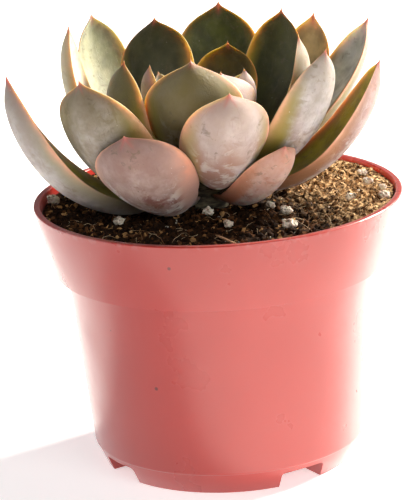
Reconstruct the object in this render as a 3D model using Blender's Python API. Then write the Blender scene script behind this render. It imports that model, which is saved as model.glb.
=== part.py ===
"""Potted echeveria: a rosette of fleshy leaves on a short stem, in potting mix, in a 10.5 cm nursery pot.

Metres, +Z up. The origin lies on the surface that the pot stands on, in the middle of the whole object's
footprint. Azimuths are in degrees about +Z, from +X towards +Y.
"""

import math

import bmesh
import bpy
from mathutils import Matrix, Vector, noise

MM = 0.001
GAP = 0.3  # clearance that touching pieces keep, mm

# Pot, mm: a conical body, a wider conical collar with a flat lip, and a foot ring with four notches
POT_AXIS_X = 2.5
POT_HEIGHT = 77.0
LIP_RADIUS = 52.5
LIP_WIDTH = 1.9
LIP_ROUND = 0.4
COLLAR_FOOT_RADIUS = 47.5
COLLAR_FOOT_Z = 57.0
BODY_TOP_RADIUS = 44.0
RIDGE_RADIUS = 39.3
RIDGE_Z = 6.6
RIDGE_STEP = 0.4
FOOT_RADIUS = 36.3
WALL = 1.0
FLOOR_UNDERSIDE = 4.8
FLOOR = 1.2
POT_SEGMENTS = 60
NOTCHES = 4
NOTCH_WIDTH = 14.0
NOTCH_CORNER = 1.4
FIRST_NOTCH = 32.0
DRAIN_HOLES = 6
DRAIN_HOLE_RADIUS = 3.5
DRAIN_RING_RADIUS = 21.0

# Soil, mm: lies a little under the lip, higher at the back right, and is watered down round the stem
SOIL_EDGE_Z = 75.2
SOIL_TILT = 0.8
SOIL_HIGH_SIDE = 30.0
SOIL_MOUND = -0.8
SOIL_ROUGHNESS = 0.5
SOIL_LUMP = 9.0
SOIL_SEGMENTS = 40
SOIL_RINGS = 7
SOCKET_DEPTH = 9.0

# Stem, mm: a stout cone that stands in a socket in the soil, a little left of the pot's axis
STEM_X = POT_AXIS_X - 3.0
STEM_COLLAR_Z = 75.0
STEM_TOP_Z = 99.0
STEM_FOOT_RADIUS = 6.5
STEM_TOP_RADIUS = 2.2

# A leaf's outline and thickness, from its foot (0) to its point (1), as shares of its half width and thickness
LEAF_OUTLINE = (
    (0.00, 0.22),
    (0.10, 0.31),
    (0.22, 0.56),
    (0.34, 0.77),
    (0.47, 0.93),
    (0.60, 1.00),
    (0.73, 0.97),
    (0.83, 0.82),
    (0.90, 0.58),
    (0.94, 0.32),
    (0.968, 0.11),
)
LEAF_THICKNESS = (0.46, 0.57, 0.82, 0.96, 1.00, 0.95, 0.82, 0.66, 0.50, 0.34, 0.20)
BEND_STEPS = 250
SHOULDER = 0.62  # above this place a leaf's own sharpness draws the outline in to a longer point
# Round a section: share of the half width, and share of the thickness above (+) or below (-) the middle
LEAF_SECTION = (
    (-1.00, 0.00),
    (-0.72, -0.42),
    (-0.38, -0.66),
    (0.00, -0.76),
    (0.38, -0.66),
    (0.72, -0.42),
    (1.00, 0.00),
    (0.58, 0.20),
    (0.00, 0.24),
    (-0.58, 0.20),
)

# The rosette, from the outermost leaf in. Azimuth of the foot and of the point (degrees), reach from the
# stem's axis and height of the point (mm), width and thickness (mm), how far the leaf curls up from foot to
# point (degrees), how deep it is cupped (share of the half width), its roll about its own length (degrees), and
# how sharp its point is (1 is blunt)
LEAVES = (
    # outer whorl
    ("front_left_low", 228, 240, 43.0, 105.0, 26.6, 5.0, 47, 0.34, 18, 1.0),
    ("front_right_low", 299, 309, 35.4, 97.3, 18.8, 4.0, 39, 0.36, 0, 1.0),
    ("left_outer", 187, 198, 56.3, 119.0, 24.5, 5.0, 84, 0.34, -7, 1.2),
    ("right_outer", 355, 346, 51.6, 116.8, 24.2, 4.2, 60, 0.32, 12, 1.2),
    ("far_back_right", 38, 46, 48.8, 120.8, 21.0, 4.2, 84, 0.34, 0, 1.0),
    ("back_low", 92, 92, 45.0, 100.0, 23.0, 4.6, 50, 0.32, 0, 1.0),
    ("back_left_low", 141, 141, 44.0, 99.0, 23.0, 4.6, 50, 0.32, 0, 1.0),
    # middle whorl
    ("left_front", 212, 220, 43.2, 118.9, 30.0, 4.9, 66, 0.36, 12, 1.3),
    ("front_middle", 281.5, 281.5, 38.2, 115.3, 25.0, 4.9, 44, 0.38, 0, 1.0),
    ("right_front", 332, 329.5, 40.4, 122.3, 24.0, 4.6, 50, 0.36, -4, 1.2),
    ("right_back", 14, 21.5, 52.8, 122.0, 19.2, 4.3, 56, 0.34, 0, 1.2),
    ("back_middle", 80, 82, 45.0, 123.5, 26.5, 4.6, 76, 0.34, 0, 1.0),
    ("back_left", 134, 139, 40.7, 125.7, 22.0, 4.3, 88, 0.36, 0, 1.0),
    ("left_back", 176, 174, 36.5, 127.5, 17.2, 3.6, 98, 0.36, 0, 1.2),
    # inner whorl
    ("front_left_inner", 217.5, 209, 23.8, 119.9, 20.8, 3.4, 95, 0.40, 0, 1.3),
    ("front_inner", 268, 264, 22.0, 122.0, 28.0, 4.7, 72, 0.42, 0, 1.7),
    ("right_inner", 355, 355, 28.0, 122.5, 15.1, 3.6, 85, 0.42, 0, 1.3),
    ("back_right_inner", 35, 48.5, 36.8, 124.3, 21.0, 3.4, 86, 0.37, 0, 1.2),
    ("back_left_inner", 142, 121, 24.0, 125.0, 23.8, 3.2, 108, 0.40, 0, 1.2),
    ("back_inner", 88, 69.5, 23.6, 116.3, 20.5, 2.5, 76, 0.42, 0, 1.2),
    # heart
    ("heart_front", 288, 287, 19.5, 117.0, 22.0, 3.8, 46, 0.45, 0, 1.4),
    ("heart_left", 203, 195, 14.5, 116.5, 12.6, 2.8, 40, 0.46, 0, 1.4),
    ("heart_right", 333, 335, 13.5, 114.5, 12.0, 3.0, 40, 0.48, 0, 1.4),
    ("heart_back_left", 134, 143, 15.0, 111.5, 11.0, 2.6, 40, 0.46, 0, 1.4),
    ("heart_back_right", 32, 31, 14.0, 110.5, 12.0, 2.8, 40, 0.48, 0, 1.4),
    ("heart_back", 96, 95, 12.0, 110.0, 12.0, 2.8, 38, 0.48, 0, 1.4),
    ("bud_front", 250, 250, 6.6, 110.2, 9.0, 2.4, 34, 0.52, 0, 1.4),
    ("bud_back", 56, 56, 5.2, 108.4, 8.0, 2.2, 34, 0.52, 0, 1.4),
    ("bud_left", 165, 165, 4.2, 107.4, 7.0, 2.0, 34, 0.52, 0, 1.4),
    ("bud_right", 320, 320, 3.6, 106.6, 6.4, 1.8, 30, 0.52, 0, 1.4),
)
FIRST_LEAF_Z = 78.0
LAST_LEAF_Z = 97.5

# Perlite on the soil, mm: x and y from the pot's axis, and the grain's length, breadth and height
PERLITE = (
    (-47.0, 5.0, 4.4, 3.4, 3.2),
    (-27.8, -19.5, 3.6, 2.6, 2.4),
    (-3.0, -14.5, 3.6, 2.8, 2.6),
    (2.8, -28.5, 2.8, 2.4, 2.2),
    (14.4, -11.5, 3.0, 2.6, 2.4),
    (18.8, -18.0, 3.8, 2.8, 2.6),
    (19.2, -34.0, 4.6, 3.6, 2.8),
    (43.4, 4.0, 3.8, 2.4, 2.2),
    (46.6, -3.0, 2.4, 2.0, 1.8),
    (46.8, -10.5, 3.8, 2.6, 2.4),
    (37.3, -9.0, 3.0, 2.4, 2.0),
    (42.0, 14.0, 3.0, 2.2, 2.0),
    (-31.0, 24.0, 3.4, 2.6, 2.4),
    (6.0, 41.0, 3.8, 3.0, 2.6),
)

# Splinter of wood on the soil, mm: its two ends from the pot's axis, and its thickness
SPLINTER_ENDS = ((-1.2, -37.0), (4.8, -47.5))
SPLINTER_THICKNESS = 0.9


def clear_scene():
    for obj in list(bpy.data.objects):
        bpy.data.objects.remove(obj)


def material(name, colour, roughness):
    made = bpy.data.materials.new(name)
    made.use_nodes = True
    shader = made.node_tree.nodes["Principled BSDF"]
    shader.inputs["Base Color"].default_value = (*colour, 1)
    shader.inputs["Roughness"].default_value = roughness
    shader.inputs["Metallic"].default_value = 0
    return made


def object_from(name, mesh_data, finish):
    """A new object from a bmesh, with its faces turned out and shaded smooth."""
    bmesh.ops.recalc_face_normals(mesh_data, faces=mesh_data.faces)
    mesh = bpy.data.meshes.new(name)
    mesh_data.to_mesh(mesh)
    mesh_data.free()
    mesh.materials.append(finish)
    mesh.shade_smooth()
    made = bpy.data.objects.new(name, mesh)
    bpy.context.scene.collection.objects.link(made)
    return made


def turned(name, profile, segments, finish):
    """The closed outline of (radius, height) points in mm, spun round Z. Points at radius 0 close it."""
    shape = bmesh.new()
    points = [shape.verts.new((radius * MM, 0, height * MM)) for radius, height in profile]
    edges = [shape.edges.new(pair) for pair in zip(points, points[1:])]
    if profile[0][0] > 0:
        edges.append(shape.edges.new((points[-1], points[0])))
    bmesh.ops.spin(
        shape, geom=points + edges, cent=(0, 0, 0), axis=(0, 0, 1), angle=2 * math.pi, steps=segments
    )
    bmesh.ops.remove_doubles(shape, verts=shape.verts, dist=1e-6)
    return object_from(name, shape, finish)


def arc(centre, radius, start, end, steps):
    """Points from one angle (degrees) to the other, with both ends."""
    turns = [math.radians(start + (end - start) * i / steps) for i in range(steps + 1)]
    return [(centre[0] + radius * math.cos(t), centre[1] + radius * math.sin(t)) for t in turns]


def cut(target, cutter):
    cutter.hide_render = True
    cutter.display_type = "WIRE"
    modifier = target.modifiers.new(cutter.name, "BOOLEAN")
    modifier.operation = "DIFFERENCE"
    modifier.object = cutter


def foot_radius_at(height):
    """Outer radius of the foot ring, which widens up to the ridge."""
    return FOOT_RADIUS + (RIDGE_RADIUS - RIDGE_STEP - FOOT_RADIUS) * height / (RIDGE_Z - RIDGE_STEP)


def pot_profile():
    lip_inner = LIP_RADIUS - LIP_WIDTH
    outer = [
        (FOOT_RADIUS, 0),
        (foot_radius_at(FLOOR_UNDERSIDE), FLOOR_UNDERSIDE),
        (RIDGE_RADIUS - RIDGE_STEP, RIDGE_Z - RIDGE_STEP),
        (RIDGE_RADIUS, RIDGE_Z),
        (BODY_TOP_RADIUS, COLLAR_FOOT_Z),
        (COLLAR_FOOT_RADIUS - LIP_ROUND, COLLAR_FOOT_Z),
        (COLLAR_FOOT_RADIUS, COLLAR_FOOT_Z + LIP_ROUND),
    ]
    lip = arc((LIP_RADIUS - LIP_ROUND, POT_HEIGHT - LIP_ROUND), LIP_ROUND, 0, 90, 2)
    lip += arc((lip_inner + LIP_ROUND, POT_HEIGHT - LIP_ROUND), LIP_ROUND, 90, 180, 2)
    inner = [
        (COLLAR_FOOT_RADIUS - WALL, COLLAR_FOOT_Z + WALL + LIP_ROUND),
        (BODY_TOP_RADIUS - WALL, COLLAR_FOOT_Z + WALL),
        (RIDGE_RADIUS - WALL, FLOOR_UNDERSIDE + FLOOR + 1),
        (RIDGE_RADIUS - WALL - 1, FLOOR_UNDERSIDE + FLOOR),
        (0, FLOOR_UNDERSIDE + FLOOR),
    ]
    underside = [
        (0, FLOOR_UNDERSIDE),
        (foot_radius_at(FLOOR_UNDERSIDE) - WALL - 0.2, FLOOR_UNDERSIDE),
        (FOOT_RADIUS - WALL - 0.2, 0),
    ]
    return underside + outer + lip + inner


def pot():
    plastic = material("terracotta_plastic", (0.62, 0.16, 0.12), 0.38)
    body = turned("pot", pot_profile(), POT_SEGMENTS, plastic)
    body.location.x = POT_AXIS_X * MM
    for i in range(NOTCHES):
        turn = math.radians(FIRST_NOTCH + 360 / NOTCHES * i)
        cut(body, notch_cutter(f"notch_cutter_{i + 1}", turn))
    for i in range(DRAIN_HOLES):
        turn = math.radians(360 / DRAIN_HOLES * i)
        cut(body, drain_cutter(f"drain_cutter_{i + 1}", turn))


def notch_cutter(name, turn):
    """A block across the foot ring, whose lower corners flare so that the feet keep rounded ends."""
    half = NOTCH_WIDTH / 2
    corner = arc((half + NOTCH_CORNER, NOTCH_CORNER), NOTCH_CORNER, 180, 270, 3)
    side = [(half, FLOOR_UNDERSIDE), *corner, (half + NOTCH_CORNER, -2)]
    outline = side + [(-across, height) for across, height in reversed(side)]
    shape = bmesh.new()
    face = shape.faces.new([shape.verts.new((28 * MM, y * MM, z * MM)) for y, z in outline])
    grown = bmesh.ops.extrude_face_region(shape, geom=[face])
    moved = [item for item in grown["geom"] if isinstance(item, bmesh.types.BMVert)]
    bmesh.ops.translate(shape, verts=moved, vec=(16 * MM, 0, 0))
    cutter = object_from(name, shape, None)
    cutter.matrix_world = Matrix.Translation((POT_AXIS_X * MM, 0, 0)) @ Matrix.Rotation(turn, 4, "Z")
    return cutter


def drain_cutter(name, turn):
    shape = bmesh.new()
    bmesh.ops.create_cone(
        shape,
        cap_ends=True,
        segments=16,
        radius1=DRAIN_HOLE_RADIUS * MM,
        radius2=DRAIN_HOLE_RADIUS * MM,
        depth=6 * MM,
    )
    cutter = object_from(name, shape, None)
    cutter.location = (
        (POT_AXIS_X + DRAIN_RING_RADIUS * math.cos(turn)) * MM,
        DRAIN_RING_RADIUS * math.sin(turn) * MM,
        (FLOOR_UNDERSIDE + FLOOR / 2) * MM,
    )
    return cutter


def collar_inner_radius(height):
    """Inner radius of the collar, which widens from its foot up to the lip."""
    low = (COLLAR_FOOT_RADIUS - WALL, COLLAR_FOOT_Z + WALL + LIP_ROUND)
    high = (LIP_RADIUS - LIP_WIDTH, POT_HEIGHT - LIP_ROUND)
    return low[0] + (high[0] - low[0]) * (height - low[1]) / (high[1] - low[1])


def soil_height(x, y):
    """Height of the soil, mm, at a place given in mm from the pot's axis."""
    radius, turn = math.hypot(x, y), math.atan2(y, x)
    share = min(radius / (LIP_RADIUS - LIP_WIDTH), 1)
    tilt = SOIL_TILT * share * math.cos(turn - math.radians(SOIL_HIGH_SIDE))
    mound = SOIL_MOUND * (1 - share**2)
    lumps = SOIL_ROUGHNESS * noise.noise(Vector((x / SOIL_LUMP, y / SOIL_LUMP, 0.5)))
    return SOIL_EDGE_Z + tilt + mound + lumps


def soil():
    """Fills the pot to just under the lip, with a socket for the stem."""
    mix = material("potting_mix", (0.06, 0.035, 0.022), 0.95)
    clear = GAP + 0.05
    socket = STEM_FOOT_RADIUS + GAP
    edge = collar_inner_radius(SOIL_EDGE_Z) - clear
    stem_shift = STEM_X - POT_AXIS_X
    rings = [socket + (edge - socket) * i / (SOIL_RINGS - 1) for i in range(SOIL_RINGS)]
    surface = [(radius, SOIL_EDGE_Z) for radius in rings]
    side = [
        (COLLAR_FOOT_RADIUS - WALL - clear, COLLAR_FOOT_Z + WALL + LIP_ROUND + clear),
        (BODY_TOP_RADIUS - WALL - clear, COLLAR_FOOT_Z + WALL + clear),
        (RIDGE_RADIUS - WALL - clear, FLOOR_UNDERSIDE + FLOOR + 1 + clear / 2),
        (RIDGE_RADIUS - WALL - 1 - clear / 2, FLOOR_UNDERSIDE + FLOOR + clear),
    ]
    base = [(0, FLOOR_UNDERSIDE + FLOOR + clear)]
    floor = STEM_COLLAR_Z - SOCKET_DEPTH - clear
    filled = turned("soil", [(0, floor), (socket, floor), *surface, *side, *base], SOIL_SEGMENTS, mix)
    for vertex in filled.data.vertices:
        x, y, z = (value / MM for value in vertex.co)
        radius = math.hypot(x, y)
        if z < COLLAR_FOOT_Z + 5 or radius < 1:
            continue
        slide = stem_shift * (1 - (radius - socket) / (edge - socket))
        x += slide
        height = soil_height(x, y) if z > floor + 1 else z
        spread = collar_inner_radius(height) - collar_inner_radius(SOIL_EDGE_Z)
        grow = 1 + spread * (radius - socket) / (edge - socket) / edge
        vertex.co = Vector((x * grow, y * grow, height)) * MM
    filled.location.x = POT_AXIS_X * MM


def stem_radius_at(height):
    share = (height - STEM_COLLAR_Z) / (STEM_TOP_Z - STEM_COLLAR_Z)
    return STEM_FOOT_RADIUS + (STEM_TOP_RADIUS - STEM_FOOT_RADIUS) * max(share, 0)


def stem():
    """Short and woody, tapering from the root crown in the soil to the growing tip among the youngest leaves."""
    wood = material("stem_wood", (0.22, 0.16, 0.09), 0.8)
    foot = STEM_COLLAR_Z - SOCKET_DEPTH
    profile = [
        (0, foot),
        (STEM_FOOT_RADIUS - 2, foot),
        (STEM_FOOT_RADIUS - 0.4, foot + 1.6),
        (STEM_FOOT_RADIUS - 0.1, STEM_COLLAR_Z),
        (STEM_TOP_RADIUS, STEM_TOP_Z - 1),
        (0, STEM_TOP_Z),
    ]
    stalk = turned("stem", profile, 20, wood)
    stalk.location.x = STEM_X * MM


def leaf_bend(curl):
    """A leaf's middle line, seen from the side: (place along, out, up, slope) in steps, for a length of 1.

    It turns up by the curl in all, fastest near the foot and hardly at all near the point.
    """
    out, up = 0.0, 0.0
    line = [(0.0, out, up, 0.0)]
    for i in range(BEND_STEPS):
        middle = curl * (1 - (1 - (i + 0.5) / BEND_STEPS) ** 2)
        out += math.cos(middle) / BEND_STEPS
        up += math.sin(middle) / BEND_STEPS
        share = (i + 1) / BEND_STEPS
        line.append((share, out, up, curl * (1 - (1 - share) ** 2)))
    return line


def leaf_stations(foot, point, curl):
    """Places along a leaf from its foot to its point, as (place, heading, upper side) at each outline station."""
    across = Vector((point.x - foot.x, point.y - foot.y, 0))
    rise = point.z - foot.z
    out = across.normalized()
    up = Vector((0, 0, 1))
    line = leaf_bend(curl)
    length = math.hypot(across.length, rise) / math.hypot(line[-1][1], line[-1][2])
    tilt = math.atan2(rise, across.length) - math.atan2(line[-1][2], line[-1][1])
    stations = []
    for share in [station for station, _ in LEAF_OUTLINE] + [1]:
        _, along, above, bend = line[round(share * BEND_STEPS)]
        slope = tilt + bend
        forward = length * (along * math.cos(tilt) - above * math.sin(tilt))
        higher = length * (along * math.sin(tilt) + above * math.cos(tilt))
        heading = out * math.cos(slope) + up * math.sin(slope)
        upper = up * math.cos(slope) - out * math.sin(slope)
        stations.append((foot + out * forward + up * higher, heading, upper))
    return stations


def leaf(name, row, foot_z, finish):
    """One leaf: sections of a cupped spoon, bridged from the foot to the needle point."""
    foot_turn, turn, reach, height, width, thickness, curl, cup, roll, sharpness = row
    foot_turn, turn, curl, roll = (math.radians(value) for value in (foot_turn, turn, curl, roll))
    slope = math.atan2(height - foot_z, reach) - 0.64 * curl
    foot_reach = stem_radius_at(foot_z) + GAP + thickness * LEAF_THICKNESS[0] * abs(math.sin(slope)) + 0.2
    foot = Vector((STEM_X + foot_reach * math.cos(foot_turn), foot_reach * math.sin(foot_turn), foot_z))
    point = Vector((STEM_X + reach * math.cos(turn), reach * math.sin(turn), height))
    stations = leaf_stations(foot, point, curl)
    shape = bmesh.new()
    loops = []
    for (share, breadth), thick, (place, heading, upper) in zip(LEAF_OUTLINE, LEAF_THICKNESS, stations):
        twist = Matrix.Rotation(roll * min(share / 0.5, 1), 3, heading)
        side = twist @ heading.cross(upper)
        upper = twist @ upper
        half = width / 2 * breadth ** (sharpness if share > SHOULDER else 1)
        ring = []
        for across, above in LEAF_SECTION:
            lift = cup * half * (across**2 - 0.9) + thickness * thick * above
            ring.append(shape.verts.new((place + side * half * across + upper * lift) * MM))
        loops.append(ring)
    end = shape.verts.new(stations[-1][0] * MM)
    for ring, following in zip(loops, loops[1:]):
        for i in range(len(ring)):
            j = (i + 1) % len(ring)
            shape.faces.new((ring[i], ring[j], following[j], following[i]))
    for i in range(len(ring)):
        shape.faces.new((following[i], following[(i + 1) % len(ring)], end))
    shape.faces.new(loops[0])
    return object_from(name, shape, finish)


def leaves():
    skin = material("leaf_skin", (0.38, 0.36, 0.25), 0.6)
    for i, (name, *row) in enumerate(LEAVES):
        foot_z = FIRST_LEAF_Z + (LAST_LEAF_Z - FIRST_LEAF_Z) * i / (len(LEAVES) - 1)
        leaf(f"leaf_{i + 1:02d}_{name}", row, foot_z, skin)


def perlite():
    """Loose expanded grains, each an uneven lump that lies on the soil."""
    grain_finish = material("perlite_white", (0.85, 0.84, 0.80), 0.9)
    for i, (x, y, *size) in enumerate(PERLITE):
        shape = bmesh.new()
        bmesh.ops.create_icosphere(shape, subdivisions=1, radius=0.5)
        for vertex in shape.verts:
            bumps = noise.noise(vertex.co * 2.2 + Vector((i, 0, 0)))
            vertex.co *= 1 + 0.3 * bumps
            vertex.co = Vector(value * side * MM for value, side in zip(vertex.co, size))
        grain = object_from(f"perlite_{i + 1:02d}", shape, grain_finish)
        lowest = min(vertex.co.z for vertex in grain.data.vertices)
        around = [soil_height(x + dx, y + dy) for dx in (-1.5, 0, 1.5) for dy in (-1.5, 0, 1.5)]
        grain.location = ((x + POT_AXIS_X) * MM, y * MM, (max(around) + GAP) * MM - lowest)


def splinter():
    """A flat sliver of wood on the soil, pointed at both ends."""
    wood = material("splinter_wood", (0.72, 0.55, 0.36), 0.8)
    (x0, y0), (x1, y1) = SPLINTER_ENDS
    length = math.hypot(x1 - x0, y1 - y0)
    shape = bmesh.new()
    bmesh.ops.create_cube(shape, size=1)
    bmesh.ops.bevel(
        shape, geom=shape.edges[:], offset=0.2, segments=1, affect="EDGES", clamp_overlap=True
    )
    sliver = object_from("wood_splinter", shape, wood)
    for vertex in sliver.data.vertices:
        taper = 1 - 1.3 * abs(vertex.co.x) ** 1.5
        vertex.co = Vector(
            (
                vertex.co.x * length,
                vertex.co.y * SPLINTER_THICKNESS * taper,
                vertex.co.z * SPLINTER_THICKNESS * 0.8 * taper,
            )
        ) * MM
    highest = max(soil_height(x0 + (x1 - x0) * i / 6, y0 + (y1 - y0) * i / 6) for i in range(7))
    sliver.location = (
        ((x0 + x1) / 2 + POT_AXIS_X) * MM,
        (y0 + y1) / 2 * MM,
        (highest + GAP + SPLINTER_THICKNESS / 2) * MM,
    )
    sliver.rotation_euler.z = math.atan2(y1 - y0, x1 - x0)


def main():
    clear_scene()
    pot()
    soil()
    stem()
    leaves()
    perlite()
    splinter()


main()
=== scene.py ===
"""Looks of a potted echeveria: a rosette of fleshy leaves in gritty potting mix, in a terracotta-red pot.

Metres, +Z up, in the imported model's frame. Sections follow the object as it is put together: pot, potting
mix, what lies on the mix, stem, leaves. The floor, the lights and the camera come last.
"""

import math
import random

import bmesh
import bpy
from mathutils import Matrix, Vector


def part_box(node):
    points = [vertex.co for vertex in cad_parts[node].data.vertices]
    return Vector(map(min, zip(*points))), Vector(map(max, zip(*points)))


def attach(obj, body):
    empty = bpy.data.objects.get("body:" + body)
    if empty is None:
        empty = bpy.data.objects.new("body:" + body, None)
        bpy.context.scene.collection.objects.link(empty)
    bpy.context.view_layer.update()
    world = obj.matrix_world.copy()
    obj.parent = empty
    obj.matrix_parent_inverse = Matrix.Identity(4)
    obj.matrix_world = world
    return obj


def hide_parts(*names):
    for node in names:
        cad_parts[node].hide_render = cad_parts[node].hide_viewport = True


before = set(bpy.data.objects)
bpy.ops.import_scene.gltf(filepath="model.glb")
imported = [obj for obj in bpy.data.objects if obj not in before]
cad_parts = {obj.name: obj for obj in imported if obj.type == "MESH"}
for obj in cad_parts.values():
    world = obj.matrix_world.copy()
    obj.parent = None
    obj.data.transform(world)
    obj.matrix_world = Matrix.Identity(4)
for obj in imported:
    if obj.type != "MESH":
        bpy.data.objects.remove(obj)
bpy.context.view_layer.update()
bpy.context.scene.view_settings.view_transform = "Standard"
MM = 0.001


# ---- Pot ---------------------------------------------------------------------------------------------
# One thin injection-moulded polypropylene nursery pot: a tapered body, a wider tapered collar with a flat
# lip, and a foot ring with four notches. It has a satin skin, and carries scuffs, dust and specks of mix.

POT_LOW, POT_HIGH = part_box("pot")
POT_AXIS = Vector(((POT_LOW.x + POT_HIGH.x) / 2, (POT_LOW.y + POT_HIGH.y) / 2, 0))
LIP_RADIUS = (POT_HIGH.x - POT_LOW.x) / 2
LIP_WIDTH = 1.9 * MM
LIP_ROUND = 0.45 * MM
WALL = 1.0 * MM
COLLAR_FOOT = (47.5 * MM, 57.0 * MM)  # radius and height
BODY_TOP_RADIUS = 44.0 * MM
RIDGE = (39.3 * MM, 6.6 * MM)
RIDGE_STEP = 0.4 * MM
FOOT_RADIUS = 36.3 * MM
FOOT_RING = 1.2 * MM
FLOOR_UNDERSIDE = 4.8 * MM
FLOOR = 1.2 * MM
POT_SIDES = 144


def deselect():
    bpy.ops.object.select_all(action="DESELECT")


def only(piece):
    """Makes this piece the one that is selected and active."""
    deselect()
    piece.select_set(True)
    bpy.context.view_layer.objects.active = piece
    return piece


def settle(piece):
    """Applies the piece's place, so that its object sits at the origin, unturned and unscaled."""
    only(piece)
    bpy.ops.object.transform_apply(location=True, rotation=True, scale=True)
    return piece


def apply_all(piece):
    only(piece)
    for modifier in list(piece.modifiers):
        bpy.ops.object.modifier_apply(modifier=modifier.name)


def put(tree, kind, inputs=None, **settings):
    """A shader node with its settings, each input given a value or joined to another node's output."""
    made = tree.nodes.new(kind)
    for name, value in settings.items():
        setattr(made, name, value)
    for socket, value in (inputs or {}).items():
        if isinstance(value, bpy.types.NodeSocket):
            tree.links.new(value, made.inputs[socket])
        else:
            made.inputs[socket].default_value = value
    return made


def between(tree, value, low, high, start=0.0, end=1.0):
    """The value eased from start to end as it goes from low to high."""
    inputs = {"Value": value, "From Min": low, "From Max": high, "To Min": start, "To Max": end}
    return put(tree, "ShaderNodeMapRange", inputs, interpolation_type="SMOOTHSTEP").outputs["Result"]


def sums(tree, operation, first, second=0.0):
    return put(tree, "ShaderNodeMath", {0: first, 1: second}, operation=operation).outputs[0]


def times(tree, first, *others):
    """The product of several values."""
    for other in others:
        first = sums(tree, "MULTIPLY", first, other)
    return first


def tint(tree, share, under, over):
    """One colour laid over another by a share."""
    return put(tree, "ShaderNodeMix", {0: share, 6: under, 7: over}, data_type="RGBA").outputs[2]


def grain(tree, place, scale, detail=3.0, roughness=0.55, warp=0.0):
    inputs = {"Vector": place, "Scale": scale, "Detail": detail}
    inputs |= {"Roughness": roughness, "Distortion": warp}
    return put(tree, "ShaderNodeTexNoise", inputs).outputs["Fac"]


def colour(code):
    """Linear colour from a hex code."""
    parts = [int(code[i : i + 2], 16) / 255 for i in (0, 2, 4)]
    return (*(part / 12.92 if part <= 0.04045 else ((part + 0.055) / 1.055) ** 2.4 for part in parts), 1)


def new_group(name, inputs, outputs):
    """A node group with its sockets, and the sockets to build from and to."""
    group = bpy.data.node_groups.new(name, "ShaderNodeTree")
    kinds = {"value": "NodeSocketFloat", "place": "NodeSocketVector", "colour": "NodeSocketColor"}
    for label, kind in inputs:
        group.interface.new_socket(label, in_out="INPUT", socket_type=kinds[kind])
    for label, kind in outputs:
        group.interface.new_socket(label, in_out="OUTPUT", socket_type=kinds[kind])
    return group, put(group, "NodeGroupInput").outputs, put(group, "NodeGroupOutput").inputs


def specks_group():
    """Small round specks: in each cell of a grid one dot, kept in a share of the cells."""
    inputs = [("Place", "place"), ("Scale", "value"), ("Size", "value"), ("Share", "value")]
    group, given, out = new_group("specks", inputs, [("Mask", "value")])
    cells = put(group, "ShaderNodeTexVoronoi", {"Vector": given["Place"], "Scale": given["Scale"]})
    pick = put(group, "ShaderNodeSeparateColor", {0: cells.outputs["Color"]})
    kept = sums(group, "LESS_THAN", pick.outputs[0], given["Share"])
    size = times(group, given["Size"], sums(group, "ADD", pick.outputs[1], 0.35))
    edge = sums(group, "DIVIDE", cells.outputs["Distance"], size)
    dot = between(group, edge, 1.0, 0.6)
    group.links.new(times(group, dot, kept), out["Mask"])
    return group


def scuffs_group():
    """Worn streaks: noise drawn out along one way of the place given, cut off above a level."""
    inputs = [("Place", "place"), ("Scale", "value"), ("Level", "value")]
    group, given, out = new_group("scuffs", inputs, [("Mask", "value")])
    broad = grain(group, given["Place"], given["Scale"], 5.0, 0.62, 0.6)
    patchy = grain(group, given["Place"], times(group, given["Scale"], 0.3), 2.0)
    both = sums(group, "ADD", broad, times(group, sums(group, "SUBTRACT", patchy, 0.5), 0.6))
    top = sums(group, "ADD", given["Level"], 0.12)
    group.links.new(between(group, both, given["Level"], top), out["Mask"])
    return group


specks = specks_group()
scuffs = scuffs_group()


def new_material(name):
    """A material with its tree, its shader and the piece's own coordinates."""
    made = bpy.data.materials.new(name)
    made.use_nodes = True
    tree = made.node_tree
    place = put(tree, "ShaderNodeTexCoord").outputs["Object"]
    return made, tree, tree.nodes["Principled BSDF"], place


def mask(tree, group, **inputs):
    """The mask that a group of marks puts out, for these inputs."""
    return put(tree, "ShaderNodeGroup", inputs, node_tree=group).outputs["Mask"]


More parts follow.
